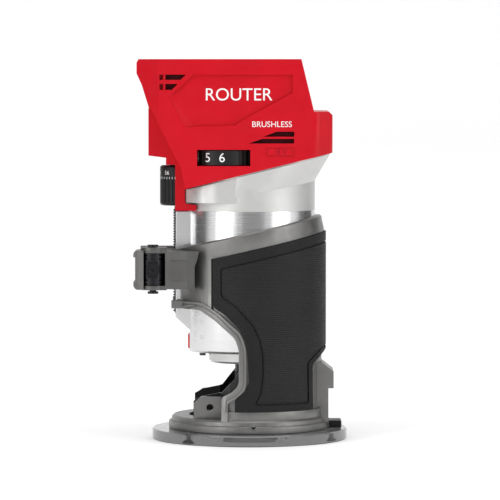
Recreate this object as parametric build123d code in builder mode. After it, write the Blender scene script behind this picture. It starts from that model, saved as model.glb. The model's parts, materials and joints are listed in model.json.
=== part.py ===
from build123d import *

import os
from math import atan, cos, radians, sin

# Trim router: a compact cordless router with a fixed base, as an assembly of separate pieces.
#
# Frame: origin at the centre of the sub-base's bottom face, on the spindle axis.
# +Z is up, +X points to the rear, -X to the clamp and the depth dial, -Y to the speed dial's side.

# ---------------------------------------------------------------- driving dimensions (mm)
# sub-base and base casting
SUB_BASE_R = 58.5
SUB_BASE_T = 6.35
SUB_BASE_HOLE_R = 16.0
BASE_SCREW_PCR = 43.0
BASE_SCREW_ANGLES = (20.0, 137.0, -137.0, -20.0)
FLANGE_R = 48.5
FLANGE_STEP_Z = 11.0
FLANGE_TOP_R = 46.8
FLANGE_TOP_Z = 14.4
FLANGE_BORE_R = 36.3
FOOT_RING_R = 45.6
FOOT_RING_Z = 19.3
SLEEVE_BORE_R = 39.6
SLEEVE_R = 43.3
SLEEVE_FRONT_R = 45.0
LIP_R = 46.4
LIP_GROOVE = 0.6
CHANNEL_HALF = 18.0
LUG_T = 5.0
LUG_Z = (91.4, 114.6)
GRIP_R = (43.4, 45.9)
GROOVE_W = 0.9
GROOVE_DEPTH = 0.7

# slanted planes: height on the axis, and rise per mm of X
BAND_LOW = (114.8, 0.2247)
BAND_HIGH = (125.0, 0.235)
HOUSING_LOW = (160.2, 0.245)
FLARE_LOW = (147.7, 0.185)

# motor unit
BARREL_R = 39.3
BARREL_Z = (53.0, 137.5)
RAIL_HALF = 17.7
RAIL_X = -44.1
NOSE_FLAT_X = -35.7
MOTOR_BORE_R = 33.2
MOTOR_BORE_TOP_R = 36.0
COLLAR_X = (-38.1, 48.9)
COLLAR_HALF = 39.9
SCREW_X = -42.0
SCREW_R = 3.9
SCREW_PITCH = 1.5875
DIAL_R = 11.7
DIAL_Z = (140.0, 164.0)
HOUSING_HALF = 40.0
HOUSING_WALL = 3.0
SLOT_HALF = 23.0
SLOT_FLOOR = 203.0

# clamp
CLAMP_X = -57.2
CLAMP_Z = 103.3
PIN_Y = -32.0
BARREL_PIN_R = 6.9
BOLT_HEAD_Y = -38.3

# spindle line
BALL_SHAFT_R = 6.0
SHAFT_R = 4.0
COLLET_BORE_R = 3.175
ROTOR_Z = (76.0, 116.0)
STATOR_R = 32.6

os.makedirs("parts", exist_ok=True)


def save(name, piece):
    """Label a finished piece and write its file."""
    piece.label = name
    export_step(piece, f"parts/{name}.step")


def slanted(line, lift=0.0):
    """The plane z = line[0] + line[1] * x, moved along its own normal by lift."""
    tilt = atan(line[1])
    normal = Vector(-sin(tilt), 0, cos(tilt))
    return Plane(
        origin=Vector(0, 0, line[0]) + normal * lift,
        x_dir=(cos(tilt), 0, sin(tilt)),
        z_dir=normal,
    )


def side_plane(y):
    """A plane whose sketch X is +X and sketch Y is +Z, facing -Y, at the given Y."""
    return Plane(origin=(0, y, 0), x_dir=(1, 0, 0), z_dir=(0, -1, 0))


def side_prism(points, half, grow=0.0):
    """A prism with a side-view outline, from -half to +half across Y.

    A point's third number rounds its corner; grow offsets the finished outline.
    """
    with BuildPart() as prism:
        with BuildSketch(side_plane(0)) as outline:
            with BuildLine():
                Polyline(*[point[:2] for point in points], close=True)
            make_face()
            for point in points:
                if len(point) == 3:
                    fillet(outline.vertices().sort_by_distance((point[0], point[1], 0))[0], point[2])
            if grow:
                offset(amount=grow, kind=Kind.INTERSECTION)
        extrude(amount=half, both=True)
    return prism.part


def tube(outer, inner, low, high):
    """A plain ring about the spindle axis."""
    with BuildPart() as ring:
        with BuildSketch(Plane.XY.offset(low)):
            Circle(outer)
            Circle(inner, mode=Mode.SUBTRACT)
        extrude(amount=high - low)
    return ring.part


# ================================================================ base: sub-base
with BuildPart() as sub_base:
    Cylinder(SUB_BASE_R, SUB_BASE_T, align=(Align.CENTER, Align.CENTER, Align.MIN))
    chamfer(sub_base.faces().sort_by(Axis.Z)[-1].edges(), 0.7)
    fillet(sub_base.faces().sort_by(Axis.Z)[0].edges(), 0.5)
    Hole(SUB_BASE_HOLE_R)
    for angle in BASE_SCREW_ANGLES:
        with Locations((BASE_SCREW_PCR * cos(radians(angle)), BASE_SCREW_PCR * sin(radians(angle)), 0)):
            Cylinder(2.2, 20, mode=Mode.SUBTRACT)
            Cone(4.3, 2.2, 2.1, align=(Align.CENTER, Align.CENTER, Align.MIN), mode=Mode.SUBTRACT)
save("sub_base", sub_base.part)

with BuildPart() as sub_base_screws:
    for angle in BASE_SCREW_ANGLES:
        spot = (BASE_SCREW_PCR * cos(radians(angle)), BASE_SCREW_PCR * sin(radians(angle)))
        with BuildSketch(Plane.XZ.offset(-spot[1])):
            with BuildLine():
                Polyline(
                    (spot[0], 0.6), (spot[0] + 3.5, 0.6), (spot[0] + 2.0, 2.1),
                    (spot[0] + 2.0, 12.6), (spot[0], 12.6), close=True,
                )
            make_face()
        revolve(axis=Axis((spot[0], spot[1], 0), (0, 0, 1)))
        with BuildSketch(Plane(origin=(spot[0], spot[1], 0.6), z_dir=(0, 0, 1))):
            RegularPolygon(1.6, 6)
        extrude(amount=1.2, mode=Mode.SUBTRACT)
save("sub_base_screws", sub_base_screws.part)

# ================================================================ base: casting
# outline of the front window
WINDOW = [
    (-70, 79.4), (-29.7, 79.4, 8), (-20.7, 73.5, 12), (-8.7, 63.0, 9), (-6.3, 56.0, 12),
    (-6.3, 35.0, 7), (-10.5, 31.0, 6), (-16.6, 27.5, 3), (-16.6, 8), (-70, 8),
]
# outer edge of the raised lip round the window
LIP_EDGE = [
    (-44.4, 84.0), (-28.3, 84.0, 10), (-18.0, 77.1, 14), (-5.0, 65.9, 11), (-2.0, 57.0, 12),
    (-1.9, 33.3, 8), (-7.6, 27.7, 6), (-12.9, 24.5, 3), (-12.9, 12), (-44.4, 12),
]
window_prism = side_prism(WINDOW, 70)
window_cut = window_prism & side_prism([(-80, FLANGE_TOP_Z), (0, FLANGE_TOP_Z), (0, 90), (-80, 90)], 75)
lip_band = tube(LIP_R, SLEEVE_BORE_R, 12, 90) & (side_prism(LIP_EDGE, 70) - window_prism)
lip_groove = side_prism(WINDOW, 60, 3.5) - side_prism(WINDOW, 60, 2.6)
lip_groove = lip_groove & tube(LIP_R + 2, LIP_R - LIP_GROOVE, FLANGE_TOP_Z + 5, 90)
below_band_top = side_prism(
    [(-80, 10), (80, 10), (80, BAND_HIGH[0] + 80 * BAND_HIGH[1] - 2),
     (-80, BAND_HIGH[0] - 80 * BAND_HIGH[1] - 2)], 80,
)
front_wall = side_prism([(-60, 79.4), (-22.6, 79.4), (-22.6, 130), (-60, 130)], 70)

band_tilt = cos(atan(BAND_LOW[1]))
with BuildPart() as collar_band:
    with BuildSketch(slanted(BAND_LOW)):
        Ellipse(SLEEVE_FRONT_R / band_tilt, SLEEVE_FRONT_R)
    extrude(amount=10.0)
    chamfer(collar_band.edges().group_by(SortBy.LENGTH)[-1].sort_by(Axis.Z)[-1], 0.8)

foot_ring = tube(FOOT_RING_R, SLEEVE_BORE_R + 1.9, FLANGE_TOP_Z, FOOT_RING_Z)
foot_ring = foot_ring & side_prism([(-12.9, 10), (60, 10), (60, 30), (-12.9, 30)], 70)
sleeve_wall = tube(SLEEVE_R, SLEEVE_BORE_R, FLANGE_TOP_Z, 150) & below_band_top
thick_front = tube(SLEEVE_FRONT_R, SLEEVE_BORE_R, 70, 150) & front_wall & below_band_top
with BuildPart() as post_block:
    with BuildSketch(Plane.XY.offset(LUG_Z[0])):
        with BuildLine():
            Polyline(
                (-68.7, -20.0), (-64.9, -18.0), (-64.9, -33.5), (-64.2, -36.6), (-62.6, -37.9),
                (-62.6, -38.7),
                (-66.0, -38.7), (-68.7, -35.5), close=True,
            )
        make_face()
    extrude(amount=LUG_Z[1] - LUG_Z[0])
    with Locations((-69.2, -30, CLAMP_Z)):
        Box(3.2, 40, 14.4, mode=Mode.SUBTRACT)
guard_post = post_block.part & side_prism(
    [(-68.7, LUG_Z[0], 2.6), (-68.7, LUG_Z[1], 2.6), (-30, LUG_Z[1]), (-30, LUG_Z[0])], 50,
)

with BuildPart() as base_casting:
    # sleeve wall, opened at the front window, with its raised lip and slanted band
    add(sleeve_wall)
    add(thick_front)
    add(window_cut, mode=Mode.SUBTRACT)
    add(lip_band)
    add(lip_groove, mode=Mode.SUBTRACT)
    add(collar_band.part)
    # flange: lower disc, upper step and the foot ring of the sleeve
    with BuildSketch(Plane.XZ):
        with BuildLine():
            Polyline(
                (FLANGE_BORE_R, SUB_BASE_T), (FLANGE_R - 0.6, SUB_BASE_T), (FLANGE_R, SUB_BASE_T + 0.6),
                (FLANGE_R, FLANGE_STEP_Z - 0.5), (FLANGE_R - 0.6, FLANGE_STEP_Z),
                (FLANGE_TOP_R, FLANGE_STEP_Z), (FLANGE_TOP_R, FLANGE_TOP_Z - 1.2),
                (FLANGE_TOP_R - 1.4, FLANGE_TOP_Z), (FLANGE_BORE_R, FLANGE_TOP_Z), close=True,
            )
        make_face()
    revolve(axis=Axis.Z)
    add(foot_ring)
    # rear bracket with its hood, for a dust port or an edge guide
    with BuildSketch(side_plane(0)):
        with BuildLine():
            Polyline(
                (38, FLANGE_STEP_Z), (47.2, FLANGE_STEP_Z), (47.2, 31), (50.3, 31),
                (50.3, 41), (43.4, 46.5), (38, 46.5), close=True,
            )
        make_face()
    extrude(amount=15.5, both=True)
    for side in (-1, 1):
        # the nub at the lip's front end, and the clamp lug
        with Locations((-42.2, side * (CHANNEL_HALF + LUG_T / 2), 81.7)):
            Box(8.6, LUG_T, 4.6)
        with BuildSketch(Plane.XY.offset(LUG_Z[0])):
            with BuildLine():
                Polyline(
                    (-66.0, side * CHANNEL_HALF), (-36.5, side * CHANNEL_HALF),
                    (-33.5, side * 29.0), (-41.0, side * (CHANNEL_HALF + LUG_T)),
                    (-64.0, side * (CHANNEL_HALF + LUG_T)), (-66.0, side * (CHANNEL_HALF + LUG_T - 2)),
                    close=True,
                )
            make_face()
        extrude(amount=LUG_Z[1] - LUG_Z[0])
    # guard post in front of the clamp lever's fork
    add(guard_post)
    # bore of the sleeve, wider at its foot for the chip shields
    with BuildSketch(Plane.XY.offset(FLANGE_TOP_Z)):
        Circle(SLEEVE_BORE_R)
    extrude(amount=140, mode=Mode.SUBTRACT)
    with BuildSketch(Plane.XY.offset(FLANGE_TOP_Z)):
        Circle(SLEEVE_BORE_R + 1.9)
    extrude(amount=48.5 - FLANGE_TOP_Z, mode=Mode.SUBTRACT)
    # ears each side of the front window
    for side in (-1, 1):
        with BuildSketch(side_plane(31 if side > 0 else -27)):
            with BuildLine():
                Polyline(
                    (-33, 13), (-33, 23.6), (-28.4, 27.4), (-15.5, 27.4), (-13, 24), (-13, 13), close=True,
                )
            make_face()
        extrude(amount=4)
        # room for the chip shield beside the ear
        with BuildSketch(Plane.XY.offset(FLANGE_TOP_Z)):
            Polygon(
                (-18.9, side * 26.8), (-16.4, side * 31.2), (-12, side * 31.2), (-12, side * 26.8),
                align=None,
            )
        extrude(amount=14, mode=Mode.SUBTRACT)
    # channel of the motor's rail, open over the full height of the sleeve
    with Locations((-60, 0, 110)):
        Box(60, 2 * CHANNEL_HALF, 2 * (110 - FLANGE_TOP_Z), mode=Mode.SUBTRACT)
    # rear window under the hood
    with Locations((42, 0, 26.5)):
        Box(10.4, 22, 22, mode=Mode.SUBTRACT)
    with Locations((48, 0, 22.5)):
        Box(10, 22, 14, mode=Mode.SUBTRACT)
    # pocket of the accessory latch
    with Locations((49.2, 0, 7.2)):
        Box(21.4, 16.7, 8.6, mode=Mode.SUBTRACT)
    # holes: sub-base screws, ears, oil hole at each side, clamp bolt, release stem
    for angle in BASE_SCREW_ANGLES:
        with Locations((BASE_SCREW_PCR * cos(radians(angle)), BASE_SCREW_PCR * sin(radians(angle)), 9)):
            Cylinder(2.0, 8, mode=Mode.SUBTRACT)
    with Locations(Location((-23.5, 0, 20.9), (90, 0, 0))):
        Cylinder(2.1, 80, mode=Mode.SUBTRACT)
    with Locations(Location((2.4, 0, 10.8), (90, 0, 0))):
        Cylinder(1.2, 2 * FLANGE_R, mode=Mode.SUBTRACT)
    with Locations(Location((CLAMP_X, 0, CLAMP_Z), (90, 0, 0))):
        Cylinder(2.6, 60, mode=Mode.SUBTRACT)
    with Locations((-49.5, CHANNEL_HALF + 3, CLAMP_Z)):
        Box(5.4, 12, 12.4, mode=Mode.SUBTRACT)
save("base_casting", base_casting.part)

# ================================================================ base: chip shields and grips
SHIELD_TOP = [
    (-33.3, 14.0), (-33.3, 24.5), (-28.5, 27.3), (-16.5, 29.7), (-9.3, 38.0),
    (-4, 46), (20, 46), (34, 30), (34, 14.0),
]
with BuildPart() as shield_pair:
    with BuildSketch(Plane.XY.offset(FLANGE_TOP_Z + 0.1)):
        Circle(SLEEVE_BORE_R + 1.7)
        Circle(SLEEVE_BORE_R + 0.2, mode=Mode.SUBTRACT)
        with Locations((-40.5, 0)):
            Rectangle(60, 100, mode=Mode.SUBTRACT)
        for side in (-1, 1):
            with BuildLine():
                Polyline(
                    (-33.3, side * 25.4), (-17.8, side * 25.4), (-10.4, side * 38.3), (-10.4, side * 40.0),
                    (-11.6, side * 39.4), (-18.6, side * 26.9), (-33.3, side * 26.9), close=True,
                )
            make_face()
    extrude(amount=34)
    add(side_prism(SHIELD_TOP, 50), mode=Mode.INTERSECT)
    with Locations(Location((-23.5, 0, 20.9), (90, 0, 0))):
        Cylinder(2.3, 80, mode=Mode.SUBTRACT)
for name, side in (("chip_shield_near", -1), ("chip_shield_far", 1)):
    with BuildPart() as shield:
        add(shield_pair.part)
        with Locations((0, -side * 60, 50)):
            Box(200, 120, 200, mode=Mode.SUBTRACT)
    save(name, shield.part)

GRIP_OUTLINE = [
    (-21.9, 109.5, 1.5), (46.5, 124.9), (46.5, 55.0), (37.5, 46, 5), (37.9, FOOT_RING_Z + 0.1),
    (-8.7, FOOT_RING_Z + 0.1), (-8.7, 26.5, 3), (-3.3, 30.5, 5), (-0.3, 36.6, 6), (-0.9, 50, 10),
    (-2.1, 60.4, 8),
    (-5.7, 68, 8), (-14.7, 77, 10), (-21.9, 81.3, 5),
]
# the textured field, set off from the grip's border by a groove
GRIP_FIELD = [
    (-17.1, 104.4, 2), (55, 121.2), (55, 57.0), (43.8, 55.4, 4), (35.0, 47.4, 5), (35.4, 23.4, 1.5),
    (2.6, 23.4, 1.5),
    (6.2, 30.5, 6), (7.6, 42.0, 8), (7.3, 53.0, 8), (5.8, 61.5, 8), (1.6, 70.5, 9), (-8.6, 81.6, 8),
    (-17.1, 87.5, 4),
]
groove_band = side_prism(GRIP_FIELD, 60) - side_prism(GRIP_FIELD, 60, -GROOVE_W)
groove_band = groove_band & tube(GRIP_R[1] + 2, GRIP_R[1] - GROOVE_DEPTH, 15, 140)
grip_shell = tube(GRIP_R[1], GRIP_R[0], 19, 140) & side_prism(GRIP_OUTLINE, 60)
with BuildPart() as grip_pair:
    add(grip_shell)
    add(groove_band, mode=Mode.SUBTRACT)
for name, side in (("grip_near", -1), ("grip_far", 1)):
    with BuildPart() as grip:
        add(grip_pair.part)
        with Locations((0, -side * (60 - 0.15), 70)):
            Box(200, 120, 200, mode=Mode.SUBTRACT)
    save(name, grip.part)

# ================================================================ base: accessory latch
with BuildPart() as latch_tab:
    with BuildSketch(Plane.XY.offset(SUB_BASE_T + 0.3)):
        Polygon((43.0, -8), (55.2, -8), (55.2, 8), (43.0, 8), align=None)
    extrude(amount=4.4)
    chamfer(latch_tab.faces().sort_by(Axis.X)[-1].edges(), 0.6)
save("latch_tab", latch_tab.part)

with BuildPart() as latch_spring:
    with BuildSketch(Plane(origin=(38.6, 0, 8.8), z_dir=(1, 0, 0))):
        Circle(1.7)
        Circle(1.1, mode=Mode.SUBTRACT)
    extrude(amount=4.3)
save("latch_spring", latch_spring.part)

# ================================================================ base: clamp
with BuildPart() as clamp_bolt:
    with BuildSketch(Plane(origin=(CLAMP_X, BOLT_HEAD_Y, CLAMP_Z), x_dir=(1, 0, 0), z_dir=(0, 1, 0))):
        Circle(4.0)
    extrude(amount=2.0)
    with BuildSketch(Plane(origin=(CLAMP_X, -36.5, CLAMP_Z), x_dir=(1, 0, 0), z_dir=(0, 1, 0))):
        Circle(2.5)
    extrude(amount=64.5)
    # socket of the adjusting head, with a ring turned round it
    with BuildSketch(Plane(origin=(CLAMP_X, BOLT_HEAD_Y, CLAMP_Z), x_dir=(1, 0, 0), z_dir=(0, 1, 0))):
        RegularPolygon(1.25, 6)
    extrude(amount=1.6, mode=Mode.SUBTRACT)
    with BuildSketch(Plane(origin=(CLAMP_X, BOLT_HEAD_Y, CLAMP_Z), x_dir=(1, 0, 0), z_dir=(0, 1, 0))):
        Circle(3.1)
        Circle(2.3, mode=Mode.SUBTRACT)
    extrude(amount=0.5, mode=Mode.SUBTRACT)
save("clamp_bolt", clamp_bolt.part)

with BuildPart() as clamp_barrel:
    with Locations((CLAMP_X, PIN_Y, CLAMP_Z)):
        Cylinder(BARREL_PIN_R, 18.8)
    # rings turned into both ends
    for step in (-4, -3, 3, 4):
        with BuildSketch(Plane((CLAMP_X, PIN_Y, CLAMP_Z + 2.1 * step - 0.5))):
            Circle(BARREL_PIN_R + 1)
            Circle(BARREL_PIN_R - 0.8, mode=Mode.SUBTRACT)
        extrude(amount=1.0, mode=Mode.SUBTRACT)
    # flat seat and counterbore of the bolt's round head
    with Locations((CLAMP_X, PIN_Y - BARREL_PIN_R, CLAMP_Z)):
        Box(14, 1.6, 10.4, mode=Mode.SUBTRACT)
    with Locations(Location((CLAMP_X, PIN_Y - BARREL_PIN_R, CLAMP_Z), (90, 0, 0))):
        Cylinder(4.2, 5.4, mode=Mode.SUBTRACT)
    with Locations(Location((CLAMP_X, 0, CLAMP_Z), (90, 0, 0))):
        Cylinder(2.5, 90, mode=Mode.SUBTRACT)
    with Locations((CLAMP_X, PIN_Y, CLAMP_Z)):
        Cylinder(2.0, 30, mode=Mode.SUBTRACT)
save("clamp_barrel", clamp_barrel.part)

with BuildPart() as clamp_plate:
    with Locations((CLAMP_X, -CHANNEL_HALF - LUG_T - 1.0, CLAMP_Z)):
        Box(14.2, 2.0, 18.6)
    with Locations(Location((CLAMP_X, -CHANNEL_HALF - LUG_T, CLAMP_Z), (90, 0, 0))):
        Cylinder(2.6, 10, mode=Mode.SUBTRACT)
save("clamp_plate", clamp_plate.part)

with BuildPart() as clamp_pins:
    for side in (-1, 1):
        with BuildSketch(Plane(origin=(CLAMP_X, PIN_Y, CLAMP_Z + side * 4.5), z_dir=(0, 0, side))):
            Circle(2.0)
        extrude(amount=9.3)
        with BuildSketch(Plane(origin=(CLAMP_X, PIN_Y, CLAMP_Z + side * 13.3), z_dir=(0, 0, side))):
            Circle(3.2)
        extrude(amount=1.2)
save("clamp_pins", clamp_pins.part)

with BuildPart() as clamp_nut:
    nut_seat = Plane(origin=(CLAMP_X, CHANNEL_HALF + LUG_T, CLAMP_Z), x_dir=(1, 0, 0), z_dir=(0, 1, 0))
    with BuildSketch(nut_seat):
        RegularPolygon(4.4, 6)
        Circle(2.5, mode=Mode.SUBTRACT)
    extrude(amount=4.5)
    chamfer(clamp_nut.faces().sort_by(Axis.Y)[-1].outer_wire().edges(), 0.5)
save("clamp_nut", clamp_nut.part)

with BuildPart() as clamp_lever:
    # handle, curved round the sleeve
    with BuildSketch(Plane.XY.offset(91.7)):
        with BuildLine():
            Polyline(
                (-49.8, -25.4), (-43.6, -25.2), (-32.4, -34.9), (-32.4, -39.9), (-37.0, -39.9),
                (-49.8, -37.8),
                close=True,
            )
        make_face()
    extrude(amount=22.5)
    # hooked finger tip at the upper end
    with BuildSketch(side_plane(-36.6)):
        Polygon((-34, 114.2), (-29.7, 114.2), (-30.9, 109.2), (-32.4, 105.0), (-34, 105.0), align=None)
    extrude(amount=3.3)
    # fork cheeks round the pin
    for low, high in ((91.1, 93.6), (113.0, 116.3)):
        with BuildSketch(Plane.XY.offset(low)):
            with Locations((CLAMP_X, PIN_Y)):
                Circle(7.3)
            Polygon((-57.2, -37.8), (-49.0, -37.8), (-49.0, -25.4), (-57.2, -25.4), align=None)
            with Locations((CLAMP_X, PIN_Y)):
                Circle(2.05, mode=Mode.SUBTRACT)
        extrude(amount=high - low)
    # raised pad on the handle's outer face
    with BuildSketch(side_plane(-38.2)):
        Polygon((-47.0, 97.1), (-36.0, 97.1), (-36.0, 108.5), (-47.0, 108.5), align=None)
    extrude(amount=1.9)
save("clamp_lever", clamp_lever.part)

# ================================================================ base: depth release
with BuildPart() as release_button:
    # half-nut plate between the lugs, with a stretched notch round the lead screw
    with BuildSketch(Plane.XY.offset(CLAMP_Z - 9)):
        Polygon((-53.6, -12.0), (-44.9, -12.0), (-44.9, 17.4), (-53.6, 17.4), align=None)
        with Locations((SCREW_X, 1.1)):
            SlotOverall(2 * (SCREW_R + 0.3) + 2.4, 2 * (SCREW_R + 0.3), rotation=90, mode=Mode.SUBTRACT)
    extrude(amount=18)
    with Locations((-49.5, CHANNEL_HALF + 2.5, CLAMP_Z)):
        Box(5.0, 10, 12.0)
    pad = Plane(origin=(-49.3, CHANNEL_HALF + LUG_T + 2.4, CLAMP_Z), x_dir=(1, 0, 0), z_dir=(0, 1, 0))
    with BuildSketch(pad):
        RectangleRounded(6.8, 17, 2.5)
    extrude(amount=3.4)
save("release_button", release_button.part)

with BuildPart() as release_spring:
    with BuildSketch(Plane(origin=(-49.5, -17.9, CLAMP_Z), z_dir=(0, 1, 0))):
        Circle(2.4)
        Circle(1.7, mode=Mode.SUBTRACT)
    extrude(amount=5.8)
save("release_spring", release_spring.part)

# ================================================================ motor unit: barrel
with BuildPart() as motor_barrel:
    Cylinder(BARREL_R, BARREL_Z[1], align=(Align.CENTER, Align.CENTER, Align.MIN))
    with Locations((0, 0, BARREL_Z[0] / 2)):
        Box(100, 100, BARREL_Z[0], mode=Mode.SUBTRACT)
    chamfer(motor_barrel.edges().sort_by(Axis.Z)[0], 1.5)
    # flat front over the nose, then the rail with its sloped foot
    with Locations((NOSE_FLAT_X - 10, 0, 70)):
        Box(20, 100, 200, mode=Mode.SUBTRACT)
    with BuildSketch(side_plane(0)):
        with BuildLine():
            Polyline(
                (-30, 66.3), (NOSE_FLAT_X, 66.3), (RAIL_X, 74.0), (RAIL_X, BARREL_Z[1] - 0.6),
                (-30, BARREL_Z[1] - 0.6), close=True,
            )
        make_face()
    extrude(amount=RAIL_HALF, both=True)
    chamfer(motor_barrel.edges().filter_by(Axis.Z).group_by(Axis.X)[0], 0.6)
    # bores: stator seat below, wider above
    with BuildSketch(Plane.XY.offset(BARREL_Z[0] - 1)):
        Circle(MOTOR_BORE_R)
    extrude(amount=100, mode=Mode.SUBTRACT)
    with BuildSketch(Plane.XY.offset(118)):
        Circle(MOTOR_BORE_TOP_R)
    extrude(amount=30, mode=Mode.SUBTRACT)
    # slot of the lead screw, and the hole of the spindle lock
    with Locations((-44, 0, 74.3 + 50)):
        Box(13.2, 9.2, 100, mode=Mode.SUBTRACT)
    with BuildSketch(Plane(origin=(-40, 0, 58.5), x_dir=(0, 1, 0), z_dir=(1, 0, 0))):
        RectangleRounded(12.6, 9.3, 2.4)
    extrude(amount=9, mode=Mode.SUBTRACT)
save("motor_barrel", motor_barrel.part)

# ================================================================ motor unit: upper collar
collar_mid = (COLLAR_X[0] + COLLAR_X[1]) / 2
housing_cos = cos(atan(HOUSING_LOW[1]))
flare_cos = cos(atan(FLARE_LOW[1]))
below_housing = side_prism(
    [(-80, 100), (80, 100), (80, HOUSING_LOW[0] + 80 * HOUSING_LOW[1]),
     (-80, HOUSING_LOW[0] - 80 * HOUSING_LOW[1])], 80,
)
with BuildPart() as flare:
    with BuildSketch(slanted(FLARE_LOW)):
        RectangleRounded(2 * (BARREL_R - 0.3) / flare_cos, 2 * (BARREL_R - 0.3), BARREL_R - 2)
    with BuildSketch(slanted(HOUSING_LOW)):
        with Locations(((collar_mid + 4) / housing_cos, 0)):
            RectangleRounded((COLLAR_X[1] - COLLAR_X[0] - 8) / housing_cos, 2 * COLLAR_HALF, 33)
    loft(ruled=True)
with BuildPart() as upper_collar:
    with BuildSketch(Plane.XY.offset(BARREL_Z[1])):
        Circle(BARREL_R - 0.1)
    extrude(amount=50)
    add(flare.part)
    # squared boss over the depth dial
    with BuildSketch(Plane.XY.offset(142.5)) as boss_plan:
        with BuildLine():
            Polyline(
                (COLLAR_X[0], -24), (-30, -35), (-20, -38.5), (0, -38.5), (0, 38.5), (-20, 38.5), (-30, 35),
                (COLLAR_X[0], 24), close=True,
            )
        make_face()
        fillet(boss_plan.vertices().filter_by(lambda corner: -31 < corner.X < -19), 12)
        fillet(boss_plan.vertices().group_by(Axis.X)[0], 3)
    extrude(amount=30)
    add(below_housing, mode=Mode.INTERSECT)
    # hollow for the controller, keeping a wall round the dial's recess
    with BuildSketch(Plane.XY.offset(BARREL_Z[1] - 5)):
        Circle(MOTOR_BORE_TOP_R)
        with Locations((SCREW_X, 0)):
            Circle(DIAL_R + 2.2, mode=Mode.SUBTRACT)
    extrude(amount=60, mode=Mode.SUBTRACT)
    with BuildSketch(Plane.XY.offset(BARREL_Z[1] - 5)):
        with Locations((SCREW_X, 0)):
            Circle(DIAL_R + 0.7)
        with Locations((SCREW_X - 10, 0)):
            Rectangle(20, 2 * DIAL_R + 1.4)
    extrude(amount=60, mode=Mode.SUBTRACT)
    # shadow groove round the joint with the housing
    with BuildSketch(slanted(HOUSING_LOW)):
        Rectangle(140, 140)
        with Locations((collar_mid / housing_cos, 0)):
            RectangleRounded(
                (COLLAR_X[1] - COLLAR_X[0] - 2.6) / housing_cos, 2 * COLLAR_HALF - 2.6, 30,
                mode=Mode.SUBTRACT,
            )
    extrude(amount=-0.8, mode=Mode.SUBTRACT)
save("upper_collar", upper_collar.part)

# ================================================================ motor unit: nose
with BuildPart() as nose_cap:
    with BuildSketch(Plane.XZ):
        with BuildLine():
            Polyline(
                (6.3, 46.0), (23.1, 46.0), (24.3, 47.2), (24.3, 53.0), (MOTOR_BORE_R - 0.1, 53.0),
                (MOTOR_BORE_R - 0.1, 56.0), (17.0, 56.0), (17.0, 56.4), (14.0, 56.4), (14.0, 48.0),
                (6.3, 48.0), close=True,
            )
        make_face()
    revolve(axis=Axis.Z)
    # guide tab of the spindle lock's plunger, and room for its button and spring
    with Locations((-16.5, 0, 58.2)):
        Box(1.6, 10, 5.4)
    with Locations((-31.8, 0, 57.95)):
        Box(10.4, 12.8, 8, mode=Mode.SUBTRACT)
    with Locations((-23.6, 0, 58.4)):
        Box(12.4, 6.4, 6, mode=Mode.SUBTRACT)
    with Locations(Location((-16.5, 0, 58.5), (0, 90, 0))):
        Cylinder(2.0, 5, mode=Mode.SUBTRACT)
    # seats of the three work lights
    with PolarLocations(28.2, 3, start_angle=180):
        Cylinder(2.0, 140, mode=Mode.SUBTRACT)
        with Locations((0, 0, 58)):
            Cylinder(2.6, 10, mode=Mode.SUBTRACT)
save("nose_cap", nose_cap.part)

with BuildPart() as light_lenses:
    for angle in (60, 180, 300):
        spot = (28.2 * cos(radians(angle)), 28.2 * sin(radians(angle)))
        with BuildSketch(Plane((spot[0], spot[1], 53.0))):
            Circle(2.5)
        extrude(amount=0.9)
        with BuildSketch(Plane((spot[0], spot[1], 49.6))):
            Circle(1.9)
        extrude(amount=3.4)
save("light_lenses", light_lenses.part)

with BuildPart() as light_board:
    add(tube(31.5, 25.0, 56.1, 57.3))
    with Locations((-28, 0, 57)):
        Box(14, 13.4, 6, mode=Mode.SUBTRACT)
save("light_board", light_board.part)

with BuildPart() as spindle_lock:
    with BuildSketch(Plane(origin=(-36.9, 0, 58.5), x_dir=(0, 1, 0), z_dir=(1, 0, 0))):
        RectangleRounded(12.0, 8.7, 2.2)
    extrude(amount=6.9)
    fillet(spindle_lock.faces().sort_by(Axis.X)[0].edges(), 0.6)
    with BuildSketch(Plane(origin=(-30.0, 0, 58.5), x_dir=(0, 1, 0), z_dir=(1, 0, 0))):
        Circle(1.9)
    extrude(amount=19.5)
save("spindle_lock_button", spindle_lock.part)

with BuildPart() as lock_spring:
    with BuildSketch(Plane(origin=(-29.9, 0, 58.5), x_dir=(0, 1, 0), z_dir=(1, 0, 0))):
        Circle(2.9)
        Circle(2.2, mode=Mode.SUBTRACT)
    extrude(amount=12.5)
save("spindle_lock_spring", lock_spring.part)

with BuildPart() as lower_bearing:
    add(tube(14.0, BALL_SHAFT_R + 0.05, 48.05, 56.0))
    add(tube(12.2, 8.0, 55.6, 57), mode=Mode.SUBTRACT)
save("lower_bearing", lower_bearing.part)

# ================================================================ motor unit: motor
with BuildPart() as stator_core:
    with BuildSketch(Plane.XY.offset(ROTOR_Z[0])):
        Circle(STATOR_R)
        Circle(27.0, mode=Mode.SUBTRACT)
        with PolarLocations(21.9, 9):
            Rectangle(11.4, 6.0)
        Circle(16.2, mode=Mode.SUBTRACT)
    extrude(amount=ROTOR_Z[1] - ROTOR_Z[0])
save("stator_core", stator_core.part)

with BuildPart() as coil:
    with Locations((21.9, 0, 96)):
        Box(8.4, 9.6, 47)
        fillet(coil.edges().filter_by(Axis.X), 2.4)
        Box(10, 6.1, 40.2, mode=Mode.SUBTRACT)
with BuildPart() as stator_windings:
    with PolarLocations(0, 9):
        add(coil.part)
save("stator_windings", stator_windings.part)

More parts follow.
